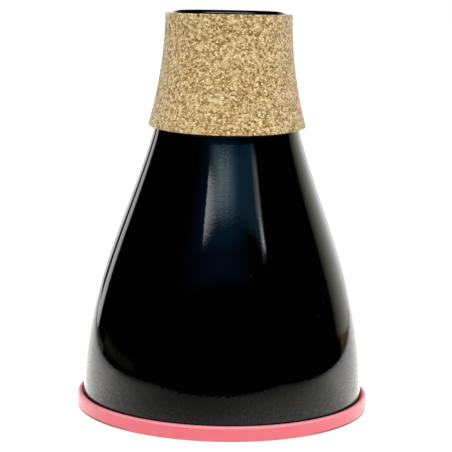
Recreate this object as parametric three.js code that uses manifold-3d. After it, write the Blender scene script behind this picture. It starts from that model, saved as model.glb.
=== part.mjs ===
// A practice mute for a trumpet: a flared shell with a cork collar round its neck, a ribbed base plate
// under its foot, a soft coloured bumper round the rim, a vent tube held in the base by a grommet, and two
// foam dampers. Units are millimetres and +Z is up. The origin is the middle of the face that it stands on.
import * as THREE from "three";
import { mergeVertices } from "three/addons/utils/BufferGeometryUtils.js";
import Module from "manifold-3d";

const wasm = await Module();
wasm.setup();

// The whole mute
const muteHeight = 138.0; // from the floor to the crest of the neck's lip
const overrun = 2.0; // how far a cutter runs past what it cuts

// Shell: one moulding of even wall, whose outside follows a raised cosine from foot to neck
const footRadius = 48.9;
const neckRadius = 19.3; // what the flare narrows towards
const shellWall = 2.0;
const flareStretch = 1.09; // above 1 moves the flare's steepest place up
const flareSharpness = 2.6; // 2 is a plain raised cosine, and more makes the neck longer
const flareRunOut = 8.3; // how far above the lip's foot the flare would reach its narrowest
const footBreak = 0.5; // chamfer of the foot's two edges
const lipRise = 1.3; // height of the rounded lip that turns in over the neck's end
const lipReach = 4.2; // how far in the lip turns before its crest
const mouthRound = 0.7; // round from the crest down into the mouth

// Cork collar: one sheet wrapped round the neck, with a slanted butt seam at the back
const corkThickness = 2.2;
const corkLength = 38.4; // from its top to where its foot's cut crosses the axis
const corkFootLean = 2.7; // degrees from level, lowest at the front
const lipShow = 1.0; // height of the crest over the top of the cork
const glueGap = 0.3; // room for glue behind a sheet
const seamWidth = 0.4;
const corkSeamLean = 16; // degrees from upright
const corkSeamTurn = 0; // degrees round from the back

// Base plate: a flange that the shell stands on, a spigot that centres it, and ribs
const plateThickness = 2.0;
const spigotHeight = 4.6;
const spigotWall = 1.8;
const spigotLead = 0.8; // chamfer that leads the spigot into the shell
const spigotClearance = 0.25;
const ribCount = 8;
const ribHeight = 2.6;
const ribThickness = 1.6;
const hubWall = 1.6; // ring that the ribs run into, round the grommet
const hubClearance = 1.2; // room for a finger-pressed grommet inside the hub

// Bumper: a soft channel stretched over the plate's edge and the shell's foot
const bumperFloor = 1.2;
const bumperCover = 1.7; // how far its wall rises over the shell's foot
const bumperLip = 5.4; // how far its floor reaches in under the plate
const bumperWall = 1.6;
const bumperGap = 0.5; // open groove between the wall's top and the shell
const plateEdgeClearance = 0.2;
const bumperTopRound = 0.6;
const bumperFootRound = 0.4;

// Vent tube and the grommet that holds it in the plate
const tubeBoreRadius = 4.6;
const tubeWall = 1.4;
const tubeLength = 62.0;
const tubeEdgeBreak = 0.3;
const tubeFootLift = 0.3; // height of its lower end over the floor
const grommetWall = 1.6; // rubber between the tube and the plate's hole
const grommetOverlap = 2.0; // reach of each grommet flange over the plate
const grommetFootLift = 0.4; // height of its lower flange over the floor
const grommetTopFlange = 1.4;
const grommetRound = 0.4; // chamfer of its flanges
const snugClearance = 0.15;

// Foam dampers
const baseFoamThickness = 8.0;
const baseFoamClearance = 0.3;
const wallFoamThickness = 5.0;
const wallFoamLift = 8.0; // height of its lower edge over the base foam
const wallFoamLength = 50.0;
const wallFoamSeamTurn = 90; // degrees round from the back

// How finely round things are cut
const turnSteps = 60;
const smallTurnSteps = 24;
const outerWallSteps = 17;
const innerWallSteps = 14;
const corkSteps = 8;
const foamSteps = 6;
const lipSteps = 4;
const roundSteps = 2;
const slopeStepShare = 0.01; // of the shell's wall, to measure the flare's slope over
const weldShare = 0.0005; // of the shell's wall, within which two corners are one

// Places that follow from the sizes above
const plateFootZ = bumperFloor;
const shellFootZ = plateFootZ + plateThickness;
const lipFootZ = muteHeight - lipRise;
const corkTopZ = muteHeight - lipShow;
const corkFootZ = corkTopZ - corkLength;
const crestRadius = flareRadius(lipFootZ) - lipReach;
const mouthRadius = crestRadius - mouthRound;
const tubeRadius = tubeBoreRadius + tubeWall;
const plateHoleRadius = tubeRadius + grommetWall + snugClearance;
const ribTopZ = shellFootZ + ribHeight;
const baseFoamTopZ = ribTopZ + baseFoamThickness;
const spigotRadius = footRadius - shellWall - spigotClearance;

const blackGloss = new THREE.MeshStandardMaterial({ color: 0x08090b, roughness: 0.12, metalness: 0 });
const blackMatt = new THREE.MeshStandardMaterial({ color: 0x17181a, roughness: 0.6, metalness: 0 });
const cork = new THREE.MeshStandardMaterial({ color: 0xc9a873, roughness: 0.9, metalness: 0 });
const pinkRubber = new THREE.MeshStandardMaterial({ color: 0xf7707c, roughness: 0.55, metalness: 0 });
const blackRubber = new THREE.MeshStandardMaterial({ color: 0x1c1c1e, roughness: 0.8, metalness: 0 });
const tubeBlack = new THREE.MeshStandardMaterial({ color: 0x303033, roughness: 0.45, metalness: 0 });
const charcoalFoam = new THREE.MeshStandardMaterial({ color: 0x2b2c2f, roughness: 1, metalness: 0 });

// Radius of the shell's outside at height z.
function flareRadius(z) {
  const climb = THREE.MathUtils.clamp((z - shellFootZ) / (lipFootZ + flareRunOut - shellFootZ), 0, 1);
  const swing = Math.cos((Math.PI / 2) * climb ** flareStretch);
  return neckRadius + (footRadius - neckRadius) * Math.max(swing, 0) ** flareSharpness;
}

// The point that lies at a depth behind the shell's outside, square to it, from height z. A depth below zero
// lies outside the shell.
function flarePoint(z, depth) {
  const nearby = shellWall * slopeStepShare;
  const slope = (flareRadius(z + nearby) - flareRadius(z - nearby)) / (2 * nearby);
  const normal = new THREE.Vector2(1, -slope).normalize();
  return new THREE.Vector2(flareRadius(z) - normal.x * depth, z - normal.y * depth);
}

// Points along the flare at one depth, from height z0 to height z1.
function flareLine(z0, z1, depth, steps) {
  const heights = Array.from({ length: steps + 1 }, (_, i) => THREE.MathUtils.lerp(z0, z1, i / steps));
  return heights.map((z) => flarePoint(z, depth));
}

// Points along an ellipse's arc about (r, z), from one angle to another, in degrees.
function arc(r, z, reach, rise, from, to, steps) {
  return Array.from({ length: steps + 1 }, (_, i) => {
    const a = THREE.MathUtils.degToRad(THREE.MathUtils.lerp(from, to, i / steps));
    return new THREE.Vector2(r + reach * Math.cos(a), z + rise * Math.sin(a));
  });
}

// Points along a rounded corner: a quarter of a circle about (r, z) that starts at an angle in degrees.
function corner(r, z, radius, from) {
  return arc(r, z, radius, radius, from, from + 90, roundSteps);
}

// The outline [r, z] pairs of a turned piece, as points.
function outline(...pairs) {
  return pairs.map(([r, z]) => new THREE.Vector2(r, z));
}

// A ring turned about the Z axis from its closed section.
function turned(section, steps = turnSteps) {
  const anticlockwise = THREE.ShapeUtils.isClockWise(section) ? section.slice().reverse() : section;
  const ring = new THREE.LatheGeometry([...anticlockwise, anticlockwise[0].clone()], steps);
  return ring.rotateX(Math.PI / 2);
}

// A closed geometry as a manifold solid.
function solid(geometry) {
  const bare = new THREE.BufferGeometry();
  bare.setAttribute("position", geometry.toNonIndexed().getAttribute("position"));
  const merged = mergeVertices(bare, shellWall * weldShare);
  const mesh = new wasm.Mesh({
    numProp: 3,
    vertProperties: merged.getAttribute("position").array,
    triVerts: new Uint32Array(merged.index.array),
  });
  return new wasm.Manifold(mesh);
}

// A manifold solid as a geometry.
function geometryOf(body) {
  const mesh = body.getMesh();
  const geometry = new THREE.BufferGeometry();
  geometry.setAttribute("position", new THREE.BufferAttribute(new Float32Array(mesh.vertProperties), 3));
  geometry.setIndex(new THREE.BufferAttribute(new Uint32Array(mesh.triVerts), 1));
  geometry.computeVertexNormals();
  return geometry;
}

// A thin upright slab from the axis out through the back, leaned and turned, that cuts one seam.
function seamCutter(reach, z0, z1, lean, turn) {
  const height = (z1 - z0 + 2 * overrun) / Math.cos(THREE.MathUtils.degToRad(lean));
  const slab = new THREE.BoxGeometry(seamWidth, reach, height);
  slab.rotateY(THREE.MathUtils.degToRad(lean));
  slab.translate(0, reach / 2, (z0 + z1) / 2);
  slab.rotateZ(THREE.MathUtils.degToRad(turn));
  return solid(slab);
}

// The shell's wall is even from foot to lip, so its inside is the flare again, one wall further in.
function bodyShell() {
  const bend = flarePoint(lipFootZ - shellWall, shellWall);
  const footInside = footRadius - shellWall;
  const footBendZ = shellFootZ + footBreak + shellWall;
  const section = [
    ...outline([footRadius - footBreak, shellFootZ]),
    ...flareLine(shellFootZ + footBreak, lipFootZ, 0, outerWallSteps),
    ...arc(crestRadius, lipFootZ, lipReach, lipRise, 0, 90, lipSteps).slice(1),
    ...arc(crestRadius, muteHeight - mouthRound, mouthRound, mouthRound, 90, 180, roundSteps).slice(1),
    ...arc(mouthRadius, bend.y, bend.x - mouthRadius, lipRise, 90, 0, lipSteps),
    ...flareLine(lipFootZ - shellWall, footBendZ, shellWall, innerWallSteps).slice(1),
    ...outline([footInside, shellFootZ + footBreak], [footInside + footBreak, shellFootZ]),
  ];
  return turned(section);
}

// The cork follows the neck at one thickness. Its lower end is cut flat across, and leans down to the front.
function corkCollar() {
  const sheetFootZ = corkFootZ - 2 * overrun;
  const section = [
    ...flareLine(sheetFootZ, corkTopZ, -glueGap, corkSteps),
    ...flareLine(corkTopZ, sheetFootZ, -glueGap - corkThickness, corkSteps),
  ];
  const lean = THREE.MathUtils.degToRad(corkFootLean);
  const up = [0, -Math.sin(lean), Math.cos(lean)];
  const sheet = solid(turned(section)).trimByPlane(up, corkFootZ * Math.cos(lean));
  const cutter = seamCutter(footRadius, sheetFootZ, corkTopZ, corkSeamLean, corkSeamTurn);
  return geometryOf(sheet.subtract(cutter));
}

// The plate is one turned disc, with ribs joined to it between its hub and its spigot.
function basePlate() {
  const hubInside = plateHoleRadius + grommetOverlap + hubClearance;
  const hubOutside = hubInside + hubWall;
  const spigotInside = spigotRadius - spigotWall;
  const section = outline(
    [plateHoleRadius, plateFootZ],
    [footRadius, plateFootZ],
    [footRadius, shellFootZ],
    [spigotRadius, shellFootZ],
    [spigotRadius, shellFootZ + spigotHeight - spigotLead],
    [spigotRadius - spigotLead, shellFootZ + spigotHeight],
    [spigotInside, shellFootZ + spigotHeight],
    [spigotInside, shellFootZ],
    [hubOutside, shellFootZ],
    [hubOutside, ribTopZ],
    [hubInside, ribTopZ],
    [hubInside, shellFootZ],
    [plateHoleRadius, shellFootZ],
  );
  const ribReach = spigotInside - hubOutside + spigotWall;
  const sink = plateThickness / 2;
  let plate = solid(turned(section));
  for (let i = 0; i < ribCount; i += 1) {
    const rib = new THREE.BoxGeometry(ribReach, ribThickness, ribHeight + sink);
    rib.translate(hubOutside - hubWall / 2 + ribReach / 2, 0, shellFootZ + (ribHeight - sink) / 2);
    rib.rotateZ((i * 2 * Math.PI) / ribCount);
    plate = plate.add(solid(rib));
  }
  return geometryOf(plate);
}

// The bumper's floor lies under the plate's edge. Its wall stands clear of the shell, with a rounded top.
function rimBumper() {
  const wallInside = footRadius + bumperGap;
  const outside = wallInside + bumperWall;
  const seatRadius = footRadius + plateEdgeClearance;
  const lipInside = footRadius - bumperLip;
  const top = shellFootZ + bumperCover;
  const footRound = Math.min(bumperFootRound, bumperFloor / 2);
  const topRound = Math.min(bumperTopRound, bumperWall / 2);
  const innerRound = topRound / 2;
  const section = [
    ...corner(lipInside + footRound, footRound, footRound, 180),
    ...corner(outside - footRound, footRound, footRound, 270),
    ...corner(outside - topRound, top - topRound, topRound, 0),
    ...corner(wallInside + innerRound, top - innerRound, innerRound, 90),
    ...outline([wallInside, shellFootZ], [seatRadius, shellFootZ]),
    ...outline([seatRadius, bumperFloor], [lipInside, bumperFloor]),
  ];
  return turned(section);
}

// The vent tube stands in the grommet and ends in the middle of the chamber.
function ventTube() {
  const top = tubeFootLift + tubeLength;
  const section = outline(
    [tubeBoreRadius, tubeFootLift + tubeEdgeBreak],
    [tubeBoreRadius + tubeEdgeBreak, tubeFootLift],
    [tubeRadius, tubeFootLift],
    [tubeRadius, top - tubeEdgeBreak],
    [tubeRadius - tubeEdgeBreak, top],
    [tubeBoreRadius + tubeEdgeBreak, top],
    [tubeBoreRadius, top - tubeEdgeBreak],
  );
  return turned(section, smallTurnSteps);
}

// The grommet grips the plate's hole between two flanges and the tube in its bore.
function ventGrommet() {
  const bore = tubeRadius + snugClearance;
  const waist = plateHoleRadius - snugClearance;
  const flange = plateHoleRadius + grommetOverlap;
  const top = shellFootZ + grommetTopFlange;
  const edge = Math.min(grommetRound, (plateFootZ - grommetFootLift) / 2);
  const section = [
    ...outline([bore, grommetFootLift], [flange - edge, grommetFootLift], [flange, grommetFootLift + edge]),
    ...outline([flange, plateFootZ], [waist, plateFootZ], [waist, shellFootZ], [flange, shellFootZ]),
    ...outline([flange, top - edge], [flange - edge, top], [bore, top]),
  ];
  return turned(section, smallTurnSteps);
}

// A foam disc lies on the ribs, with a hole for the tube.
function baseFoam() {
  const inside = tubeRadius + baseFoamClearance;
  const outside = spigotRadius - spigotWall - baseFoamClearance;
  const upper = [[outside, baseFoamTopZ], [inside, baseFoamTopZ]];
  return turned(outline([inside, ribTopZ], [outside, ribTopZ], ...upper));
}

// A foam sheet lines the wall, rolled to its flare, with one straight seam.
function wallFoam() {
  const foamFoot = baseFoamTopZ + wallFoamLift;
  const foamTop = foamFoot + wallFoamLength;
  const depth = shellWall + glueGap;
  const section = [
    ...flareLine(foamFoot, foamTop, depth + wallFoamThickness, foamSteps),
    ...flareLine(foamTop, foamFoot, depth, foamSteps),
  ];
  const cutter = seamCutter(footRadius, foamFoot - wallFoamThickness, foamTop, 0, wallFoamSeamTurn);
  return geometryOf(solid(turned(section)).subtract(cutter));
}

const mute = new THREE.Group();
const pieces = [
  ["body_shell", bodyShell(), blackGloss],
  ["cork_collar", corkCollar(), cork],
  ["base_plate", basePlate(), blackMatt],
  ["rim_bumper", rimBumper(), pinkRubber],
  ["vent_tube", ventTube(), tubeBlack],
  ["vent_grommet", ventGrommet(), blackRubber],
  ["base_foam", baseFoam(), charcoalFoam],
  ["wall_foam", wallFoam(), charcoalFoam],
];
for (const [name, geometry, material] of pieces) {
  const piece = new THREE.Mesh(geometry, material);
  piece.name = name;
  mute.add(piece);
}

export default mute;
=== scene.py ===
"""A closed practice mute in gloss black, with a cork collar and a pink rubber bumper, in a white studio.

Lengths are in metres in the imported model's own frame: +Z is up, and the origin is the middle of the face
that the mute stands on. Each part of the mute is a class that reads its place from the node that it stands
for. Each finish is a class that paints one material. The studio holds the floor, the cards and the lamps.
"""

import logging
import math
from abc import ABC, abstractmethod
from collections.abc import Callable
from dataclasses import dataclass
from enum import Enum
from typing import ClassVar

import bmesh
import bpy
from mathutils import Matrix, Vector, noise


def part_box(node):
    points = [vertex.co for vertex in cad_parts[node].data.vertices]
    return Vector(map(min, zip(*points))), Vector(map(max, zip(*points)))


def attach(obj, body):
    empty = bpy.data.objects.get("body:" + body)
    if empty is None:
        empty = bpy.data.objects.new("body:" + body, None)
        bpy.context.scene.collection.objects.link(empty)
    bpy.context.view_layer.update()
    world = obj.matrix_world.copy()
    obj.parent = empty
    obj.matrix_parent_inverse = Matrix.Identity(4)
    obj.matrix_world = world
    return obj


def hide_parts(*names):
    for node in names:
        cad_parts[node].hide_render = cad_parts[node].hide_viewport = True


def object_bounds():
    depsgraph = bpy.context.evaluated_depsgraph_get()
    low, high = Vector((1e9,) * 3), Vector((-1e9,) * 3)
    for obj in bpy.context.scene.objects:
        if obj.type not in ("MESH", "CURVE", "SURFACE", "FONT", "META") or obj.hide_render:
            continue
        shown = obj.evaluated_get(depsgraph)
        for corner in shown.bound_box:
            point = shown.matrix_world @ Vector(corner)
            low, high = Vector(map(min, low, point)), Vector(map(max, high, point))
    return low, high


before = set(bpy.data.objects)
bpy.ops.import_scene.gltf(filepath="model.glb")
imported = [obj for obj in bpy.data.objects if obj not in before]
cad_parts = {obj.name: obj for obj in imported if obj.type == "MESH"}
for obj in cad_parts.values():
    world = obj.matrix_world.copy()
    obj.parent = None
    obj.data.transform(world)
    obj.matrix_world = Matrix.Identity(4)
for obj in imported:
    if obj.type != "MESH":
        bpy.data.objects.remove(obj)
cad_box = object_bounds()

MM = 0.001
BODY = "root"
TURNS = 192
FINE_TURNS = 288
SMALL_TURNS = 96
SHARP_EDGE = math.radians(40)

Point = tuple[float, float]
Place = tuple[float, float, float]
Colour = tuple[float, float, float, float]
Light = tuple[float, float, float]
Span = tuple[float, float]

log = logging.getLogger("mute")


class Slot(Enum):
    """The record's material slots."""

    SHELL = "shell_gloss_black"
    CORK = "granulated_cork"
    BUMPER = "bumper_pink"
    PLATE = "plate_black"
    TUBE = "tube_black"
    GROMMET = "grommet_black"
    FOAM = "foam_charcoal"


class Ray(Enum):
    """The kinds of ray that a light path tells apart."""

    CAMERA = "Is Camera Ray"
    GLOSSY = "Is Glossy Ray"
    THROUGH = "Is Transmission Ray"


def painted(red: int, green: int, blue: int) -> Colour:
    """Turns a screen colour into the linear colour that shaders use.

    Args:
        red: Red on the screen, from 0 to 255.
        green: Green on the screen, from 0 to 255.
        blue: Blue on the screen, from 0 to 255.

    Returns:
        The linear colour, opaque.
    """

    def linear(level: int) -> float:
        """Gives one channel's linear value."""
        share = level / 255
        return share / 12.92 if share <= 0.04045 else ((share + 0.055) / 1.055) ** 2.4

    return linear(red), linear(green), linear(blue), 1.0


class Shade:
    """A socket of a shader's nodes that can stand in a plain sum."""

    def __init__(self, nodes: "ShaderNodes", socket: bpy.types.NodeSocket | None) -> None:
        """Keeps the socket and the nodes that it belongs to."""
        self.nodes = nodes
        self.socket = socket

    def sum(self, operation: str, *values: "Shade | float") -> "Shade":
        """Adds one Math node.

        Args:
            operation: The Math node's operation.
            values: What goes into its sockets, in order.

        Returns:
            The node's value.
        """
        return self.nodes.add("ShaderNodeMath", {"operation": operation}, dict(enumerate(values)))

    def __add__(self, other: "Shade | float") -> "Shade":
        """This value plus the other."""
        return self.sum("ADD", self, other)

    def __radd__(self, other: float) -> "Shade":
        """A number plus this value."""
        return self.sum("ADD", other, self)

    def __sub__(self, other: "Shade | float") -> "Shade":
        """This value less the other."""
        return self.sum("SUBTRACT", self, other)

    def __rsub__(self, other: float) -> "Shade":
        """A number less this value."""
        return self.sum("SUBTRACT", other, self)

    def __mul__(self, other: "Shade | float") -> "Shade":
        """This value times the other."""
        return self.sum("MULTIPLY", self, other)

    def __rmul__(self, other: float) -> "Shade":
        """A number times this value."""
        return self.sum("MULTIPLY", other, self)

    def __truediv__(self, other: "Shade | float") -> "Shade":
        """This value over the other."""
        return self.sum("DIVIDE", self, other)

    def __rtruediv__(self, other: float) -> "Shade":
        """A number over this value."""
        return self.sum("DIVIDE", other, self)

    def __pow__(self, power: float) -> "Shade":
        """This value to a power."""
        return self.sum("POWER", self, power)

    def __abs__(self) -> "Shade":
        """This value without its sign."""
        return self.sum("ABSOLUTE", self)

    def clamped(self) -> "Shade":
        """This value held between 0 and 1."""
        return self.nodes.add("ShaderNodeClamp", None, {"Value": self})

    def rise(self, low: float, high: float) -> "Shade":
        """Fades smoothly from 0 to 1 between two values, or from 1 to 0 where the first is the larger.

        Args:
            low: The value at which the fade is 0.
            high: The value at which the fade is 1.

        Returns:
            The fade.
        """
        sockets = {"Value": self, "From Min": low, "From Max": high}
        return self.nodes.add("ShaderNodeMapRange", {"interpolation_type": "SMOOTHSTEP"}, sockets)

    def spread(self, low: float, high: float) -> "Shade":
        """Runs from one value to the other where this one runs from 0 to 1."""
        return low + (high - low) * self

    def within(self, span: Span, soft: float) -> "Shade":
        """Gives 1 inside a span and 0 outside, with soft ends.

        Args:
            span: The span's two ends.
            soft: How wide each end's fade is, half of it to each side.

        Returns:
            The mask.
        """
        low, high = span
        return self.rise(low - soft / 2, low + soft / 2) * self.rise(high + soft / 2, high - soft / 2)

    def part(self, name: str) -> "Shade":
        """One part of a vector, by its name X, Y or Z."""
        return self.nodes.add("ShaderNodeSeparateXYZ", None, {0: self}, name)

    def grey_part(self) -> "Shade":
        """The red of a colour whose channels are random, as a plain value."""
        return self.nodes.add("ShaderNodeSeparateColor", None, {0: self})

    def scaled(self, by: tuple[float, float, float]) -> "Shade":
        """This vector with each part times its own number."""
        return self.nodes.add("ShaderNodeVectorMath", {"operation": "MULTIPLY"}, {0: self, 1: by})

    def shifted(self, by: "Shade", amount: float) -> "Shade":
        """Moves this vector by a colour read as a vector, centred on mid grey.

        Args:
            by: The colour, whose channels run from 0 to 1.
            amount: How far a channel at its end moves the vector, doubled.

        Returns:
            The moved vector.
        """
        middle = {0: by, 1: (0.5, 0.5, 0.5)}
        centred = self.nodes.add("ShaderNodeVectorMath", {"operation": "SUBTRACT"}, middle)
        grown = centred.scaled((amount, amount, amount))
        return self.nodes.add("ShaderNodeVectorMath", {"operation": "ADD"}, {0: self, 1: grown})


class ShaderNodes:
    """The nodes of one material or world, added one by one."""

    MIX_FACTOR: ClassVar[int] = 0
    MIX_FIRST: ClassVar[int] = 6
    MIX_SECOND: ClassVar[int] = 7
    MIX_RESULT: ClassVar[int] = 2

    def __init__(self, owner: bpy.types.Material | bpy.types.World) -> None:
        """Clears the owner's nodes, to start afresh.

        Args:
            owner: The material or the world.
        """
        owner.use_nodes = True
        self.tree = owner.node_tree
        self.tree.nodes.clear()

    def add(
        self,
        kind: str,
        settings: dict[str, object] | None = None,
        sockets: dict[str | int, object] | None = None,
        output: str | int = 0,
    ) -> Shade:
        """Adds a node of any kind.

        Args:
            kind: The node's type.
            settings: Its settings by name, which are set first. A ramp's stops go under the name stops.
            sockets: What its inputs hold, by name or number: a shade is linked, and anything else is set.
            output: The output to give back, by name or number.

        Returns:
            The named output, or an empty shade where the node has none.
        """
        node = self.tree.nodes.new(kind)
        for name, value in (settings or {}).items():
            if name == "stops":
                self.set_stops(node.color_ramp, value)
            else:
                setattr(node, name, value)
        for key, value in (sockets or {}).items():
            if isinstance(value, Shade):
                self.tree.links.new(value.socket, node.inputs[key])
            else:
                node.inputs[key].default_value = value
        return Shade(self, node.outputs[output] if len(node.outputs) else None)

    @staticmethod
    def set_stops(ramp: bpy.types.ColorRamp, stops: list[tuple[float, Colour]]) -> None:
        """Gives a colour ramp its stops.

        Args:
            ramp: The ramp.
            stops: Each stop's place and colour, in order.
        """
        while len(ramp.elements) > 1:
            ramp.elements.remove(ramp.elements[-1])
        for number, (place, colour) in enumerate(stops):
            stop = ramp.elements.new(place) if number else ramp.elements[0]
            stop.position = place
            stop.color = colour

    def mix(self, share: Shade | float, first: Shade | Colour, second: Shade | Colour) -> Shade:
        """Mixes two colours: the first where the share is 0, and the second where it is 1."""
        sockets = {self.MIX_FACTOR: share, self.MIX_FIRST: first, self.MIX_SECOND: second}
        return self.add("ShaderNodeMix", {"data_type": "RGBA"}, sockets, self.MIX_RESULT)

    def ramp(self, share: Shade, stops: list[tuple[float, Colour]]) -> Shade:
        """A colour read off a ramp at a share."""
        return self.add("ShaderNodeValToRGB", {"stops": stops}, {0: share})

    def place(self) -> Shade:
        """The place in the object's own space, in metres, or the direction in a world."""
        return self.add("ShaderNodeTexCoord", None, None, "Object")

    def clouds(self, at: Shade, size: float, detail: float = 2.0, roughness: float = 0.5) -> Shade:
        """Soft noise.

        Args:
            at: Where it is read.
            size: How wide its blotches are, in metres.
            detail: How many finer layers it has.
            roughness: How strong the finer layers are.

        Returns:
            The noise, around 0.5.
        """
        sockets = {"Vector": at, "Scale": 1 / size, "Detail": detail, "Roughness": roughness}
        return self.add("ShaderNodeTexNoise", None, sockets)

    def clouds_colour(self, at: Shade, size: float) -> Shade:
        """Soft noise with channels of their own, to push a vector with."""
        sockets = {"Vector": at, "Scale": 1 / size, "Detail": 1.0}
        return self.add("ShaderNodeTexNoise", None, sockets, "Color")

    def cells(self, at: Shade, size: float, output: str, feature: str = "F1") -> Shade:
        """Closely packed cells, such as grains.

        Args:
            at: Where they are read.
            size: How wide a cell is, in metres.
            output: The value to give back: Distance, or Color, which is random for each cell.
            feature: What the distance is measured to.

        Returns:
            The output.
        """
        sockets = {"Vector": at, "Scale": 1 / size}
        return self.add("ShaderNodeTexVoronoi", {"feature": feature}, sockets, output)

    def bump(self, height: Shade, depth: float, below: Shade | None = None) -> Shade:
        """A surface raised by a height.

        Args:
            height: The height, from 0 to 1.
            depth: How deep the relief is, in metres.
            below: A coarser relief that this one lies on.

        Returns:
            The surface's direction.
        """
        sockets: dict[str | int, object] = {"Height": height, "Distance": depth}
        if below is not None:
            sockets["Normal"] = below
        return self.add("ShaderNodeBump", None, sockets)

    def seen_by(self, *rays: Ray) -> Shade:
        """Tells some kinds of ray from the others.

        Args:
            rays: The kinds.

        Returns:
            1 to any of them, and 0 to others.
        """
        shares = [self.add("ShaderNodeLightPath", None, None, ray.value) for ray in rays]
        total = shares[0]
        for share in shares[1:]:
            total = total + share
        return total.clamped()

    def surface(self, sockets: dict[str | int, object]) -> Shade:
        """A Principled surface whose sockets hold these values and links."""
        return self.add("ShaderNodeBsdfPrincipled", None, sockets)

    def lit(self, colour: Shade | Light, level: Shade) -> Shade:
        """A light's colour times how strong it is."""
        return self.add("ShaderNodeVectorMath", {"operation": "SCALE"}, {0: colour, "Scale": level})

    def together(self, first: Shade, second: Shade) -> Shade:
        """Two lights' colours, added."""
        return self.add("ShaderNodeVectorMath", {"operation": "ADD"}, {0: first, 1: second})

    def glow(self, colour: Shade | Colour, strength: float = 1.0) -> Shade:
        """Plain emitted light."""
        return self.add("ShaderNodeEmission", None, {"Color": colour, "Strength": strength})

    def veil(self, colour: Shade) -> Shade:
        """Light added to whatever is behind."""
        clear = self.add("ShaderNodeBsdfTransparent")
        return self.add("ShaderNodeAddShader", None, {0: clear, 1: self.glow(colour)})

    def choose(self, share: Shade, first: Shade, second: Shade) -> Shade:
        """The first shader where the share is 0, and the second where it is 1."""
        return self.add("ShaderNodeMixShader", None, {0: share, 1: first, 2: second})


def new_material(name: str, paint: Callable[[ShaderNodes], Shade]) -> bpy.types.Material:
    """Makes a material.

    Args:
        name: Its name.
        paint: Adds its nodes and gives back its surface.

    Returns:
        The material.
    """
    made = bpy.data.materials.new(name)
    nodes = ShaderNodes(made)
    nodes.add("ShaderNodeOutputMaterial", None, {"Surface": paint(nodes)})
    return made


class Finish(ABC):
    """A finish: it paints one material, and names the record's slot that it belongs to."""

    slot: ClassVar[Slot]

    @abstractmethod
    def paint(self, nodes: ShaderNodes) -> Shade:
        """Adds the finish's nodes and gives back its surface."""

    def material(self) -> bpy.types.Material:
        """Makes the material, named after its slot."""
        return new_material(self.slot.value, self.paint)


@dataclass(frozen=True)
class GlossBlack(Finish):
    """Polished black plastic, with a moulding's faint waviness, light wipe marks and a little dust."""

    slot: ClassVar[Slot] = Slot.SHELL
    colour: Colour = painted(1, 1, 1)
    dust_colour: Colour = painted(70, 68, 64)
    polish: float = 0.03
    wiped: float = 0.05
    dusty: float = 0.5
    wave_size: float = 9.0 * MM
    wave_depth: float = 0.006 * MM
    peel_size: float = 0.8 * MM
    peel_depth: float = 0.0055 * MM
    wipe_size: float = 5.0 * MM
    wipe_stretch: float = 9.0
    wipe_levels: Span = (0.52, 0.8)
    dust_size: float = 7.0 * MM
    dust_reach: float = 0.028

    def paint(self, nodes: ShaderNodes) -> Shade:
        """Adds the nodes: a mirror-like black that only wiping and dust dull.

        Args:
            nodes: The material's nodes.

        Returns:
            The surface.
        """
        place = nodes.place()
        drawn = place.scaled((1, 1, 1 / self.wipe_stretch))
        wiped = nodes.clouds(drawn, self.wipe_size, detail=4, roughness=0.6)
        dust = nodes.cells(place, self.dust_size, "Distance").rise(self.dust_reach, self.dust_reach / 2)
        wave = nodes.bump(nodes.clouds(place, self.wave_size), self.wave_depth)
        return nodes.surface(
            {
                "Base Color": nodes.mix(dust, self.colour, self.dust_colour),
                "Roughness": self.polish + self.wiped * wiped.rise(*self.wipe_levels) + self.dusty * dust,
                "IOR": 1.5,
                "Normal": nodes.bump(nodes.clouds(place, self.peel_size), self.peel_depth, wave),
            }
        )


@dataclass(frozen=True)
class GranulatedCork(Finish):
    """Fine cork granules pressed into a sheet: grains of every tone and crumbs, with binder between them."""

    slot: ClassVar[Slot] = Slot.CORK
    grain_size: float = 0.72 * MM
    crumb_size: float = 0.42 * MM
    crumb_share: float = 0.4
    warp_size: float = 0.7 * MM
    warp_reach: float = 0.6 * MM
    patch_size: float = 9.0 * MM
    patch_share: float = 0.02
    relief: float = 0.12 * MM
    groove_width: float = 0.2
    grains: tuple[tuple[float, Colour], ...] = (
        (0.18, painted(128, 96, 38)),
        (0.33, painted(176, 143, 86)),
        (0.5, painted(213, 180, 124)),
        (0.67, painted(233, 203, 150)),
        (0.84, painted(250, 229, 184)),
    )
    binder: Colour = painted(120, 88, 38)
    binder_share: float = 0.5
    binder_width: float = 0.1
    roughness: Span = (0.74, 0.94)

    def paint(self, nodes: ShaderNodes) -> Shade:
        """Adds the nodes: grains of every tone, crumbs over them, and dark binder at the grains' rims.

        Args:
            nodes: The material's nodes.

        Returns:
            The surface.
        """
        place = nodes.place()
        at = place.shifted(nodes.clouds_colour(place, self.warp_size), self.warp_reach)
        tone = nodes.cells(at, self.grain_size, "Color").grey_part()
        crumb = nodes.cells(at, self.crumb_size, "Color").grey_part()
        rim = nodes.cells(at, self.grain_size, "Distance", "DISTANCE_TO_EDGE")
        patch = (nodes.clouds(place, self.patch_size, detail=3) - 0.5) * self.patch_share
        speckle = tone * (1 - self.crumb_share) + crumb * self.crumb_share + patch
        grain = nodes.ramp(speckle, list(self.grains))
        binder = rim.rise(self.binder_width, 0.0) * self.binder_share
        height = (tone + rim.rise(0.0, self.groove_width)) / 2
        return nodes.surface(
            {
                "Base Color": nodes.mix(binder, grain, self.binder),
                "Roughness": crumb.spread(*self.roughness),
                "IOR": 1.4,
                "Sheen Weight": 0.45,
                "Sheen Roughness": 0.35,
                "Normal": nodes.bump(height, self.relief),
            }
        )


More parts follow.
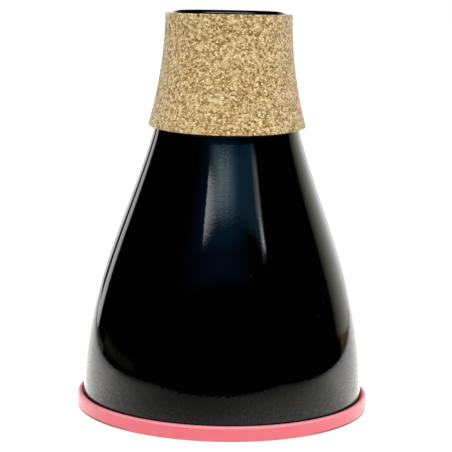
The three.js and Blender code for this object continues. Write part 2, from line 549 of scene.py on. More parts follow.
@dataclass(frozen=True)
class BumperRubber(Finish):
    """Soft pink rubber that light sinks into a little, finely grained and scuffed, with a painted top
    highlight.

    Low on its outside, at the mute's left and right, a painted contact shadow darkens it.
    """

    slot: ClassVar[Slot] = Slot.BUMPER
    outside: float
    colour: Colour = painted(255, 114, 129)
    faded: Colour = painted(252, 119, 132)
    faded_levels: Span = (0.3, 0.7)
    patch_size: float = 6.0 * MM
    # painted highlight: this paler pink on the top's outer edge stands in for light caught on the rounded
    # top
    wear_and_highlight: Colour = painted(255, 186, 190)
    highlight_from: Span = (3.9 * MM, 4.7 * MM)
    highlight_in: Span = (1.3 * MM, 0.9 * MM)
    highlight_share: float = 0.55
    # painted contact shadow: a dark rose low on the outside, at the left and right, stands in for the shade
    # where the ring meets the floor
    contact_shadow: Colour = painted(96, 44, 48)
    contact_shadow_to: Span = (0.95 * MM, 0.55 * MM)
    contact_shadow_beyond: Span = (25 * MM, 43 * MM)
    contact_shadow_in: Span = (0.9 * MM, 0.4 * MM)
    reach: Light = (1.0, 0.14, 0.12)
    depth: float = 2.0 * MM
    grain_size: float = 0.5 * MM
    grain_relief: float = 0.012 * MM
    scuff_size: float = 3.0 * MM
    scuff_squash: float = 4.0
    scuff_levels: Span = (0.5, 0.75)
    roughness: Span = (0.36, 0.48)

    def paint(self, nodes: ShaderNodes) -> Shade:
        """Adds the nodes: the rubber's own colour, the painted top highlight, then the painted contact
        shadow.

        Args:
            nodes: The material's nodes.

        Returns:
            The surface.
        """
        place = nodes.place()
        across, along, up = (place.part(name) for name in "XYZ")
        inward = self.outside - (across**2 + along**2) ** 0.5
        faded = nodes.clouds(place, self.patch_size, detail=3).rise(*self.faded_levels)
        squashed = place.scaled((1, 1, self.scuff_squash))
        scuffs = nodes.clouds(squashed, self.scuff_size, detail=4, roughness=0.7)
        # painted highlight along the top's outer edge, mixed over the rubber's own colour
        worn_and_highlit = up.rise(*self.highlight_from) * inward.rise(*self.highlight_in) * self.highlight_share
        # painted contact shadow near the foot, at the mute's left and right
        painted_contact_shadow = up.rise(*self.contact_shadow_to) * abs(across).rise(*self.contact_shadow_beyond) * inward.rise(*self.contact_shadow_in)
        rubber = nodes.mix(worn_and_highlit, nodes.mix(faded, self.colour, self.faded), self.wear_and_highlight)
        return nodes.surface(
            {
                "Base Color": nodes.mix(painted_contact_shadow, rubber, self.contact_shadow),
                "Roughness": scuffs.rise(*self.scuff_levels).spread(*self.roughness),
                "IOR": 1.75,
                "Subsurface Weight": 0.22,
                "Subsurface Radius": self.reach,
                "Subsurface Scale": self.depth,
                "Sheen Weight": 0.35,
                "Sheen Roughness": 0.3,
                "Normal": nodes.bump(nodes.clouds(place, self.grain_size), self.grain_relief),
            }
        )


@dataclass(frozen=True)
class MouldedBlack(Finish):
    """Black plastic from a spark-eroded mould: an even fine texture, with smoother patches."""

    slot: ClassVar[Slot] = Slot.PLATE
    colour: Colour = painted(24, 24, 26)
    worn_and_highlit: Colour = painted(34, 34, 36)
    texture_size: float = 0.35 * MM
    texture_relief: float = 0.02 * MM
    texture_share: float = 0.06
    rub_size: float = 14.0 * MM
    rub_levels: Span = (0.45, 0.7)
    roughness: Span = (0.5, 0.36)

    def paint(self, nodes: ShaderNodes) -> Shade:
        """Adds the nodes: the mould's texture, with paler and smoother patches.

        Args:
            nodes: The material's nodes.

        Returns:
            The surface.
        """
        place = nodes.place()
        patches = nodes.clouds(place, self.rub_size, detail=4, roughness=0.6)
        wear_and_highlight = patches.rise(*self.rub_levels)
        texture = nodes.clouds(place, self.texture_size)
        return nodes.surface(
            {
                "Base Color": nodes.mix(wear_and_highlight, self.colour, self.worn_and_highlit),
                "Roughness": wear_and_highlight.spread(*self.roughness) + self.texture_share * texture,
                "IOR": 1.5,
                "Normal": nodes.bump(texture, self.texture_relief),
            }
        )


@dataclass(frozen=True)
class ExtrudedBlack(Finish):
    """Black extruded tube, with fine lines drawn along its length."""

    slot: ClassVar[Slot] = Slot.TUBE
    colour: Colour = painted(38, 38, 40)
    pale: Colour = painted(50, 50, 53)
    pale_levels: Span = (0.35, 0.7)
    line_size: float = 0.5 * MM
    line_stretch: float = 60.0
    line_relief: float = 0.01 * MM
    roughness: Span = (0.34, 0.5)

    def paint(self, nodes: ShaderNodes) -> Shade:
        """Adds the nodes: noise drawn out along the tube.

        Args:
            nodes: The material's nodes.

        Returns:
            The surface.
        """
        along = nodes.place().scaled((1, 1, 1 / self.line_stretch))
        drawn = nodes.clouds(along, self.line_size, detail=3, roughness=0.6)
        return nodes.surface(
            {
                "Base Color": nodes.mix(drawn.rise(*self.pale_levels), self.colour, self.pale),
                "Roughness": drawn.spread(*self.roughness),
                "IOR": 1.5,
                "Normal": nodes.bump(drawn, self.line_relief),
            }
        )


@dataclass(frozen=True)
class GrommetRubber(Finish):
    """Matt black rubber with a dry, slightly dusty bloom."""

    slot: ClassVar[Slot] = Slot.GROMMET
    colour: Colour = painted(28, 28, 28)
    bloom: Colour = painted(46, 45, 44)
    bloom_size: float = 2.5 * MM
    bloom_levels: Span = (0.4, 0.75)
    grain_size: float = 0.3 * MM
    grain_relief: float = 0.02 * MM
    roughness: Span = (0.68, 0.88)

    def paint(self, nodes: ShaderNodes) -> Shade:
        """Adds the nodes: black rubber under a patchy bloom.

        Args:
            nodes: The material's nodes.

        Returns:
            The surface.
        """
        place = nodes.place()
        patches = nodes.clouds(place, self.bloom_size, detail=4, roughness=0.65)
        bloom = patches.rise(*self.bloom_levels)
        return nodes.surface(
            {
                "Base Color": nodes.mix(bloom, self.colour, self.bloom),
                "Roughness": bloom.spread(*self.roughness),
                "IOR": 1.5,
                "Normal": nodes.bump(nodes.clouds(place, self.grain_size), self.grain_relief),
            }
        )


@dataclass(frozen=True)
class OpenCellFoam(Finish):
    """Charcoal foam, whose open cells show as dark pores between paler struts: the pores are painted shade.
    """

    slot: ClassVar[Slot] = Slot.FOAM
    strut: Colour = painted(74, 74, 77)
    strut_shares: Span = (0.75, 1.0)
    strut_levels: Span = (0.16, 0.02)
    # painted shade: the dark pore colour stands in for the shade inside the open cells
    pore_shade: Colour = painted(18, 18, 20)
    cell_size: float = 0.9 * MM
    cell_relief: float = 0.25 * MM
    patch_size: float = 15.0 * MM
    roughness: Span = (0.9, 0.98)

    def paint(self, nodes: ShaderNodes) -> Shade:
        """Adds the nodes: struts along the cells' rims, and painted shade in the pores inside them.

        Args:
            nodes: The material's nodes.

        Returns:
            The surface.
        """
        place = nodes.place()
        rim = nodes.cells(place, self.cell_size, "Distance", "DISTANCE_TO_EDGE").rise(*self.strut_levels)
        patch = nodes.clouds(place, self.patch_size, detail=3)
        return nodes.surface(
            {
                "Base Color": nodes.mix(rim * patch.spread(*self.strut_shares), self.pore_shade, self.strut),
                "Roughness": patch.spread(*self.roughness),
                "IOR": 1.3,
                "Normal": nodes.bump(rim, self.cell_relief),
            }
        )


def arc(centre: Point, reach: float, rise: float, angles: Span, steps: int) -> list[Point]:
    """Points along an ellipse's arc.

    Args:
        centre: The ellipse's middle, as a radius and a height.
        reach: Its half width.
        rise: Its half height.
        angles: The angles of the arc's two ends, in degrees.
        steps: How many stretches it has.

    Returns:
        The points, one more than the stretches.
    """
    start, end = (math.radians(angle) for angle in angles)
    turns = [start + (end - start) * i / steps for i in range(steps + 1)]
    return [(centre[0] + reach * math.cos(a), centre[1] + rise * math.sin(a)) for a in turns]


def corner(centre: Point, radius: float, start: float, steps: int = 5) -> list[Point]:
    """A quarter of a circle that starts at an angle in degrees."""
    return arc(centre, radius, radius, (start, start + 90), steps)


def line(start: Point, end: Point, steps: int) -> list[Point]:
    """Points along a straight line.

    Args:
        start: Its first point.
        end: Its last point, which is left out.
        steps: How many points it has.

    Returns:
        The points.
    """
    shares = [i / steps for i in range(steps)]
    return [(start[0] + (end[0] - start[0]) * s, start[1] + (end[1] - start[1]) * s) for s in shares]


def ring_section(
    inside: float, outside: float, heights: Span, easy: float, flat: int, wall: int
) -> list[Point]:
    """The section of a ring with straight sides and rounded edges.

    Args:
        inside: The ring's inner radius.
        outside: Its outer radius.
        heights: The heights of its foot and its top.
        easy: The edges' radius.
        flat: How many steps cross its foot, and its top.
        wall: How many steps climb its outside, and its inside.

    Returns:
        The section's points.
    """
    low, high = heights
    return [
        *corner((inside + easy, low + easy), easy, 180),
        *line((inside + 2 * easy, low), (outside - 2 * easy, low), flat),
        *corner((outside - easy, low + easy), easy, 270),
        *line((outside, low + 2 * easy), (outside, high - 2 * easy), wall),
        *corner((outside - easy, high - easy), easy, 0),
        *line((outside - 2 * easy, high), (inside + 2 * easy, high), flat),
        *corner((inside + easy, high - easy), easy, 90),
        *line((inside, high - 2 * easy), (inside, low + 2 * easy), wall),
    ]


def rough_shift(at: Vector, grain: float) -> float:
    """A repeatable random value between about -1 and 1 at a point, from blotches of one size."""
    return noise.noise(at / grain, noise_basis="PERLIN_ORIGINAL")


def linked(name: str, data: bpy.types.ID) -> bpy.types.Object:
    """Puts a new object in the scene.

    Args:
        name: The object's name.
        data: Its mesh, lamp or camera.

    Returns:
        The object.
    """
    made = bpy.data.objects.new(name, data)
    bpy.context.scene.collection.objects.link(made)
    return made


def as_piece(name: str, shape: bmesh.types.BMesh) -> bpy.types.Object:
    """Turns a closed shape into a smooth shaded object.

    Args:
        name: The object's name.
        shape: The shape, which is used up.

    Returns:
        The object, in the scene.
    """
    bmesh.ops.recalc_face_normals(shape, faces=shape.faces)
    mesh = bpy.data.meshes.new(name)
    shape.to_mesh(mesh)
    shape.free()
    mesh.shade_smooth()
    mesh.set_sharp_from_angle(angle=SHARP_EDGE)
    return linked(name, mesh)


def turned(section: list[Point], turns: int = TURNS) -> bmesh.types.BMesh:
    """Turns a closed section about the Z axis.

    Args:
        section: The section's points, each a radius and a height, round the section once.
        turns: How many steps the turn has.

    Returns:
        The closed ring.
    """
    shape = bmesh.new()
    rings = []
    for turn in range(turns):
        angle = 2 * math.pi * turn / turns
        rings.append([shape.verts.new((r * math.cos(angle), r * math.sin(angle), z)) for r, z in section])
    for turn, ring in enumerate(rings):
        beside = rings[(turn + 1) % turns]
        for i in range(len(section)):
            j = (i + 1) % len(section)
            shape.faces.new((ring[i], beside[i], beside[j], ring[j]))
    return shape


def slab(steps: tuple[int, int, int], place: Callable[[float, float, float], Vector]) -> bmesh.types.BMesh:
    """Makes a closed slab whose points a function places, with faces on its six sides only.

    Args:
        steps: How many steps it has along its length, its width and its thickness.
        place: Gives the point at three shares from 0 to 1, along the length, the width and the thickness.

    Returns:
        The closed slab.
    """
    shape = bmesh.new()
    corners: dict[tuple[int, int, int], bmesh.types.BMVert] = {}

    def vert(*at: int) -> bmesh.types.BMVert:
        """Gives a vertex, and makes it when it is first asked for.

        Args:
            at: How many steps along, across and out it lies.

        Returns:
            The vertex.
        """
        if at not in corners:
            corners[at] = shape.verts.new(place(*(i / n for i, n in zip(at, steps))))
        return corners[at]

    for axis in range(3):
        across, along = (a for a in range(3) if a != axis)
        for end in (0, steps[axis]):
            for i in range(steps[across]):
                for j in range(steps[along]):
                    quad = []
                    for di, dj in ((0, 0), (1, 0), (1, 1), (0, 1)):
                        at = [0, 0, 0]
                        at[axis] = end
                        at[across] = i + di
                        at[along] = j + dj
                        quad.append(vert(*at))
                    shape.faces.new(quad)
    return shape


def roughen(shape: bmesh.types.BMesh, grain: float, depth: float) -> None:
    """Pushes a shape's points in from its surface by random amounts, so that nothing grows outwards.

    Args:
        shape: The shape.
        grain: How wide the dents are.
        depth: How deep the deepest is.
    """
    bmesh.ops.recalc_face_normals(shape, faces=shape.faces)
    shape.normal_update()
    for vert in shape.verts:
        vert.co -= vert.normal * depth * (0.5 + 0.5 * rough_shift(vert.co, grain))


def eased(share: float, length: float, radius: float) -> float:
    """How far in a rounded edge lies, in metres, at a share of a length that ends in two such edges.

    Args:
        share: The place along the length, from 0 to 1.
        length: The length.
        radius: The edges' radius.

    Returns:
        0 along the middle, and up to the radius at the two ends.
    """
    into = radius - min(share, 1 - share) * length
    if into <= 0:
        return 0.0
    return radius - math.sqrt(max(radius * radius - into * into, 0.0))


@dataclass(frozen=True)
class Flare:
    """The raised cosine that the shell's outside follows, and the sheets that lie on either side of it."""

    foot_radius: float
    foot_z: float
    lip_foot_z: float
    neck_radius: float = 19.3 * MM
    run_out: float = 8.3 * MM
    stretch: float = 1.09
    sharpness: float = 2.6
    slope_step: float = 0.02 * MM
    rounds: int = 8

    def radius(self, z: float) -> float:
        """Works out how wide the outside is.

        Args:
            z: The height.

        Returns:
            The outside's radius there.
        """
        climb = min(max((z - self.foot_z) / (self.lip_foot_z + self.run_out - self.foot_z), 0.0), 1.0)
        swing = max(math.cos(math.pi / 2 * climb**self.stretch), 0.0)
        return self.neck_radius + (self.foot_radius - self.neck_radius) * swing**self.sharpness

    def point(self, z: float, depth: float) -> Point:
        """The point at a depth behind the outside, square to it.

        Args:
            z: The height on the outside that it is measured from.
            depth: How far in it lies, or out where it is below zero.

        Returns:
            Its radius and height.
        """
        step = self.slope_step
        slope = (self.radius(z + step) - self.radius(z - step)) / (2 * step)
        length = math.hypot(1, slope)
        return self.radius(z) - depth / length, z + depth * slope / length

    def start(self, z: float, depth: float) -> float:
        """Finds where a point at a depth is measured from.

        Args:
            z: The point's height.
            depth: How far behind the outside it lies.

        Returns:
            The height on the outside that it is square to.
        """
        guess = z
        for _ in range(self.rounds):
            guess += z - self.point(guess, depth)[1]
        return guess

    def line(self, start: float, end: float, depth: float, steps: int) -> list[Point]:
        """Points at one depth, from one height to another."""
        return [self.point(start + (end - start) * i / steps, depth) for i in range(steps + 1)]


@dataclass
class Part(ABC):
    """A part of the mute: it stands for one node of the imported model, and has one finish."""

    node: ClassVar[str]
    finish: Finish

    @abstractmethod
    def build(self) -> bpy.types.Object:
        """Makes the part's mesh."""

    def low(self) -> Vector:
        """The lowest corner of the node that the part stands for."""
        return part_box(self.node)[0]

    def high(self) -> Vector:
        """The highest corner of the node that the part stands for."""
        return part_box(self.node)[1]

    def dress(self, piece: bpy.types.Object) -> None:
        """Gives a mesh its finish, and puts it in the place of its node.

        Args:
            piece: The part's mesh.
        """
        piece.data.materials.append(self.finish.material())
        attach(piece, BODY)
        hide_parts(self.node)

    def make(self) -> bpy.types.Object:
        """Builds and dresses the part.

        Returns:
            The finished piece.
        """
        piece = self.build()
        self.dress(piece)
        log.info("%s: %d faces in %s", piece.name, len(piece.data.polygons), self.finish.slot.value)
        return piece


@dataclass
class FoamPart(Part):
    """A part of soft foam."""

    FILL: ClassVar[float] = 1.0

    def dress(self, piece: bpy.types.Object) -> None:
        """Dresses the foam like any other part."""
        super().dress(piece)


@dataclass
class Shell(Part):
    """The flared shell: one moulding of even wall, with a lip that turns in over the neck's end.

    A low seat runs round its neck, under the cork's foot, and shows just below it.
    """

    node: ClassVar[str] = "body_shell"
    wall: float = 2.0 * MM
    foot_break: float = 0.5 * MM
    lip_rise: float = 1.3 * MM
    lip_reach: float = 4.2 * MM
    mouth_round: float = 0.7 * MM
    seat: Span = (94.9 * MM, 99.4 * MM)
    seat_end: float = 102.0 * MM
    seat_rise: float = 0.165 * MM
    seat_steps: int = 24
    outside_steps: int = 110
    inside_steps: int = 70
    lip_steps: int = 20

    def flare(self) -> Flare:
        """The curve of the shell's outside, between the foot and the lip of its node."""
        return Flare(self.high().x, self.low().z, self.high().z - self.lip_rise)

    def outside(self, flare: Flare) -> list[Point]:
        """The outside from the foot to the lip, with the low seat round the neck.

        Args:
            flare: The curve that it follows.

        Returns:
            The points, without the last.
        """
        (low, crest), end = self.seat, self.seat_end
        seat = [
            *line((0.0, low), (self.seat_rise, crest), self.seat_steps),
            *line((self.seat_rise, crest), (0.0, end), self.seat_steps),
        ]
        return [
            *flare.line(self.low().z + self.foot_break, low, 0, self.outside_steps)[:-1],
            *((flare.radius(z) + rise, z) for rise, z in seat),
            *flare.line(end, flare.lip_foot_z, 0, self.outside_steps // 2)[:-1],
        ]

    def build(self) -> bpy.types.Object:
        """Turns the wall's section: up the outside, over the lip and down the inside.

        Returns:
            The shell.
        """
        flare = self.flare()
        top_z, lip_z = self.high().z, flare.lip_foot_z
        crest = flare.radius(lip_z) - self.lip_reach
        mouth = crest - self.mouth_round
        bend = flare.point(lip_z - self.wall, self.wall)
        inside = flare.foot_radius - self.wall
        easy, bend_z = self.foot_break, self.low().z + self.foot_break
        section = [
            *corner((inside + easy, bend_z), easy, 180),
            *corner((flare.foot_radius - easy, bend_z), easy, 270)[:-1],
            *self.outside(flare),
            *arc((crest, lip_z), self.lip_reach, self.lip_rise, (0, 90), self.lip_steps)[:-1],
            *corner((crest, top_z - self.mouth_round), self.mouth_round, 90, self.lip_steps),
            *arc((mouth, bend[1]), bend[0] - mouth, self.lip_rise, (90, 0), self.lip_steps),
            *flare.line(lip_z - self.wall, bend_z + self.wall, self.wall, self.inside_steps)[1:],
        ]
        return as_piece("shell", turned(section, FINE_TURNS))


@dataclass
class CorkCollar(Part):
    """A sheet of cork wrapped round the neck, with a slanted butt seam at the back and a leaned foot."""

    node: ClassVar[str] = "cork_collar"
    flare: Flare
    thickness: float = 2.2 * MM
    glue: float = 0.3 * MM
    glue_line: float = 0.19 * MM
    foot_lean: float = math.radians(2.7)
    seam_gap: float = 0.16 * MM
    seam_lean: float = math.radians(16)
    edge_round: float = 0.12 * MM
    grain: float = 1.1 * MM
    relief: float = 0.14 * MM
    steps: tuple[int, int, int] = (420, 112, 8)

    def build(self) -> bpy.types.Object:
        """Wraps the sheet from one side of its seam round to the other.

        Returns:
            The sheet.
        """
        outside = -self.glue - self.thickness
        top_z = self.flare.start(self.high().z, outside)
        feet = [self.foot_starts(-self.glue), self.foot_starts(outside)]
        length = top_z - sum(feet[0]) / 2
        middle_z = top_z - length / 2

        def place(around: float, up: float, out: float) -> Vector:
            """Places one of the sheet's points.

            Args:
                around: Its share of the way round.
                up: Its share of the way up.
                out: Its share of the way out through the sheet.

            Returns:
                The point.
            """
            tucked = eased(out, self.thickness, self.edge_round)
            level = top_z - length * (1 - up)
            seam = math.asin((level - middle_z) * math.tan(self.seam_lean) / self.flare.radius(level))
            gap = (self.seam_gap / 2 + tucked) / self.flare.radius(level)
            angle = seam + gap + (2 * math.pi - 2 * gap) * around
            back = (1 + math.cos(angle)) / 2
            front_z, back_z = (inner + (outer - inner) * out for inner, outer in zip(*feet))
            start = front_z + (back_z - front_z) * back + tucked
            depth = -self.glue_line - (self.glue + self.thickness - self.glue_line) * out
            depth += (1 if out > 0.5 else -1) * eased(up, length, self.edge_round) * abs(2 * out - 1)
            radius, height = self.flare.point(start + (top_z - tucked - start) * up, depth)
            return Vector((radius * math.sin(angle), radius * math.cos(angle), height))

        sheet = slab(self.steps, place)
        roughen(sheet, self.grain, self.relief)
        return as_piece("cork_sheet", sheet)

    def foot_starts(self, depth: float) -> Span:
        """Finds where the leaned foot lies on one face of the sheet.

        Args:
            depth: The face's depth behind the shell's outside.

        Returns:
            The heights on the shell's outside that the foot is square to, in front and at the back.
        """
        front = self.low().z
        outside = -self.glue - self.thickness
        starts = ((self.flare.start(front, deep), deep) for deep in (outside, depth))
        reach, radius = (self.flare.point(*start)[0] for start in starts)
        middle = front + reach * math.tan(self.foot_lean)
        rise = radius * math.tan(self.foot_lean)
        return self.flare.start(middle - rise, depth), self.flare.start(middle + rise, depth)


@dataclass
class RimBumper(Part):
    """The soft channel round the foot: its floor lies under the plate's edge, and its wall stands clear."""

    node: ClassVar[str] = "rim_bumper"
    seat_z: float
    seat_radius: float
    shell_foot_z: float
    wall: float = 1.6 * MM
    top_round: float = 0.9 * MM
    inner_round: float = 0.15 * MM
    foot_round: float = 0.4 * MM
    lip: float = 5.4 * MM
    plate_clearance: float = 0.2 * MM
    wall_steps: int = 12
    top_steps: int = 8

    def build(self) -> bpy.types.Object:
        """Turns the channel's section.

        Returns:
            The ring.
        """
        outside, top = self.high().x, self.high().z
        wall_inside = outside - self.wall
        seat = self.seat_radius + self.plate_clearance
        lip_inside = self.seat_radius - self.lip
        inner_top = top - self.inner_round
        section = [
            *corner((lip_inside + self.foot_round, self.foot_round), self.foot_round, 180),
            *corner((outside - self.foot_round, self.foot_round), self.foot_round, 270)[:-1],
            *line((outside, self.foot_round), (outside, top - self.top_round), self.wall_steps),
            *corner((outside - self.top_round, top - self.top_round), self.top_round, 0, self.top_steps),
            *corner((wall_inside + self.inner_round, inner_top), self.inner_round, 90),
            (wall_inside, self.shell_foot_z),
            (seat, self.shell_foot_z),
            (seat, self.seat_z),
            (lip_inside, self.seat_z),
        ]
        return as_piece("bumper_ring", turned(section, FINE_TURNS))


@dataclass
class BasePlate(Part):
    """The plate that closes the foot, with its spigot, its hub and the ribs between them."""

    node: ClassVar[str] = "base_plate"
    shell_foot_z: float
    shell_inside: float
    hole_radius: float
    grommet_radius: float
    spigot_clearance: float = 0.25 * MM
    spigot_wall: float = 1.8 * MM
    spigot_lead: float = 0.8 * MM
    lead_steps: int = 4
    hub_clearance: float = 1.2 * MM
    hub_wall: float = 1.6 * MM
    rib_count: int = 8
    rib_height: float = 2.6 * MM
    rib_width: float = 1.6 * MM
    edge_round: float = 0.3 * MM
    edge_steps: int = 3

    def edge(self, radius: float, height: float, start: float) -> list[Point]:
        """A rounded edge of the plate, about a middle, that starts at an angle in degrees."""
        return corner((radius, height), self.edge_round, start, self.edge_steps)

    def build(self) -> bpy.types.Object:
        """Turns the disc and joins the ribs to it.

        Returns:
            The plate.
        """
        foot_z, seat_z, top_z, rim = self.low().z, self.shell_foot_z, self.high().z, self.high().x
        rib_z = seat_z + self.rib_height
        hub = self.grommet_radius + self.hub_clearance
        hub_outside = hub + self.hub_wall
        spigot = self.shell_inside - self.spigot_clearance
        spigot_inside = spigot - self.spigot_wall
        easy, lead = self.edge_round, self.spigot_lead
        section = [
            *self.edge(self.hole_radius + easy, foot_z + easy, 180),
            *self.edge(rim - easy, foot_z + easy, 270),
            *self.edge(rim - easy, seat_z - easy, 0),
            (spigot, seat_z),
            *line((spigot, top_z - lead), (spigot - lead, top_z), self.lead_steps),
            *self.edge(spigot_inside + easy, top_z - easy, 90),
            (spigot_inside, seat_z),
            (hub_outside, seat_z),
            *self.edge(hub_outside - easy, rib_z - easy, 0),
            *self.edge(hub + easy, rib_z - easy, 90),
            (hub, seat_z),
            *self.edge(self.hole_radius + easy, seat_z - easy, 90),
        ]
        plate = as_piece("plate_disc", turned(section))
        reach = (hub_outside - self.hub_wall / 2, spigot_inside + self.spigot_wall / 2)
        for number in range(self.rib_count):
            self.join(plate, self.rib(number, reach, (foot_z + seat_z) / 2, rib_z))
        plate.data.shade_smooth()
        plate.data.set_sharp_from_angle(angle=SHARP_EDGE)
        return plate

    def rib(self, number: int, reach: Span, low_z: float, high_z: float) -> bpy.types.Object:
        """Makes one rib, with its upper edges rounded.

        Args:
            number: Which of the ribs it is.
            reach: How far out it starts and ends.
            low_z: The height of its foot, inside the plate.
            high_z: The height of its top.

        Returns:
            The rib.
        """
        half, easy = self.rib_width / 2, self.edge_round
        outline = [
            (-half, low_z),
            (half, low_z),
            *self.edge(half - easy, high_z - easy, 0),
            *self.edge(-half + easy, high_z - easy, 90),
        ]
        turn = Matrix.Rotation(2 * math.pi * number / self.rib_count, 4, "Z")
        shape = bmesh.new()
        ends = [[shape.verts.new(turn @ Vector((r, across, z))) for across, z in outline] for r in reach]
        for end in ends:
            shape.faces.new(end)
        for i in range(len(outline)):
            j = (i + 1) % len(outline)
            shape.faces.new((ends[0][i], ends[0][j], ends[1][j], ends[1][i]))
        return as_piece(f"rib_{number}", shape)

    @staticmethod
    def join(plate: bpy.types.Object, rib: bpy.types.Object) -> None:
        """Joins a rib to the plate as one solid.

        Args:
            plate: The plate, which takes the rib in.
            rib: The rib, which is used up.
        """
        union = plate.modifiers.new("join", "BOOLEAN")
        union.operation = "UNION"
        union.solver = "EXACT"
        union.object = rib
        spent = (plate.data, rib.data)
        whole = plate.evaluated_get(bpy.context.evaluated_depsgraph_get())
        plate.data = bpy.data.meshes.new_from_object(whole)
        plate.modifiers.clear()
        bpy.data.objects.remove(rib)
        for mesh in spent:
            bpy.data.meshes.remove(mesh)


@dataclass
class VentTube(Part):
    """The tube that lets the player's air out, with eased ends."""

    node: ClassVar[str] = "vent_tube"
    wall: float = 1.4 * MM
    edge: float = 0.3 * MM
    wall_steps: int = 30

    def build(self) -> bpy.types.Object:
        """Turns the tube's section.

        Returns:
            The tube.
        """
        outside, heights = self.high().x, (self.low().z, self.high().z)
        section = ring_section(outside - self.wall, outside, heights, self.edge, 0, self.wall_steps)
        return as_piece("tube", turned(section, SMALL_TURNS))


@dataclass
class VentGrommet(Part):
    """The rubber bush that grips the plate's hole between two flanges, and the tube in its bore."""

    node: ClassVar[str] = "vent_grommet"
    tube_radius: float
    plate_span: Span
    wall: float = 1.6 * MM
    snug: float = 0.15 * MM
    flange_round: float = 0.35 * MM

    def hole_radius(self) -> float:
        """The radius of the plate's hole that it sits in."""
        return self.tube_radius + self.wall + self.snug

    def build(self) -> bpy.types.Object:
        """Turns the grommet's section: two flanges with the plate's edge between them.

        Returns:
            The grommet.
        """
        flange, low_z, high_z, easy = self.high().x, self.low().z, self.high().z, self.flange_round
        bore, waist = self.tube_radius + self.snug, self.hole_radius() - self.snug
        under, over = self.plate_span
        section = [
            *corner((bore + easy, low_z + easy), easy, 180),
            *corner((flange - easy, low_z + easy), easy, 270),
            (flange, under),
            (waist, under),
            (waist, over),
            (flange, over),
            *corner((flange - easy, high_z - easy), easy, 0),
            *corner((bore + easy, high_z - easy), easy, 90),
        ]
        return as_piece("grommet", turned(section, SMALL_TURNS))


@dataclass
class BaseFoam(FoamPart):
    """The foam disc on the plate's ribs, die-cut with a hole for the tube."""

    node: ClassVar[str] = "base_foam"
    hole_radius: float = 6.3 * MM
    edge_round: float = 0.8 * MM
    grain: float = 2.4 * MM
    relief: float = 0.3 * MM
    face_steps: int = 34
    side_steps: int = 6

    def build(self) -> bpy.types.Object:
        """Turns the disc's section, and dents it all over.

        Returns:
            The disc.
        """
        outside, heights = self.high().x, (self.low().z, self.high().z)
        steps = (self.face_steps, self.side_steps)
        disc = turned(ring_section(self.hole_radius, outside, heights, self.edge_round, *steps))
        roughen(disc, self.grain, self.relief)
        return as_piece("foam_disc", disc)


@dataclass
class WallFoam(FoamPart):
    """The foam sheet that lines the shell's wide part, rolled to the flare with one straight seam."""

    node: ClassVar[str] = "wall_foam"
    flare: Flare
    shell_wall: float
    thickness: float = 5.0 * MM
    glue: float = 0.3 * MM
    seam_gap: float = 0.4 * MM
    edge_round: float = 0.9 * MM
    grain: float = 2.4 * MM
    relief: float = 0.3 * MM
    steps: tuple[int, int, int] = (200, 40, 6)

    def build(self) -> bpy.types.Object:
        """Rolls the sheet round the wall from its seam, on the mute's left, back to it.

        Returns:
            The sheet.
        """
        inner, outer = self.shell_wall + self.glue + self.thickness, self.shell_wall + self.glue
        foot_z = self.flare.start(self.low().z, inner)
        top_z = self.flare.start(self.high().z, outer)
        length = top_z - foot_z

        def place(around: float, up: float, out: float) -> Vector:
            """Places one of the sheet's points.

            Args:
                around: Its share of the way round.
                up: Its share of the way up.
                out: Its share of the way out through the sheet.

            Returns:
                The point.
            """
            tucked = eased(out, self.thickness, self.edge_round)
            z = foot_z + tucked + (length - 2 * tucked) * up
            depth = inner + (outer - inner) * out
            depth += (1 if out > 0.5 else -1) * eased(up, length, self.edge_round) * abs(2 * out - 1)
            radius, height = self.flare.point(z, depth)
            gap = (self.seam_gap / 2 + tucked) / radius
            angle = math.pi + gap + (2 * math.pi - 2 * gap) * around
            return Vector((radius * math.cos(angle), radius * math.sin(angle), height))

        sheet = slab(self.steps, place)
        roughen(sheet, self.grain, self.relief)
        return as_piece("foam_lining", sheet)


@dataclass(frozen=True)
class Lamp:
    """A square soft lamp that lights the mute, and that its gloss doesn't show."""

    name: str
    place: Vector
    aim: Vector
    width: float
    watts: float

    def make(self) -> bpy.types.Object:
        """Puts the lamp in the scene, turned to what it aims at.

        Returns:
            The lamp.
        """
        light = bpy.data.lights.new(self.name, "AREA")
        light.shape = "SQUARE"
        light.size = self.width
        light.energy = self.watts
        lamp = linked(self.name, light)
        lamp.location = self.place
        lamp.rotation_mode = "QUATERNION"
        lamp.rotation_quaternion = (self.aim - self.place).to_track_quat("-Z", "Y")
        lamp.visible_glossy = False
        return lamp


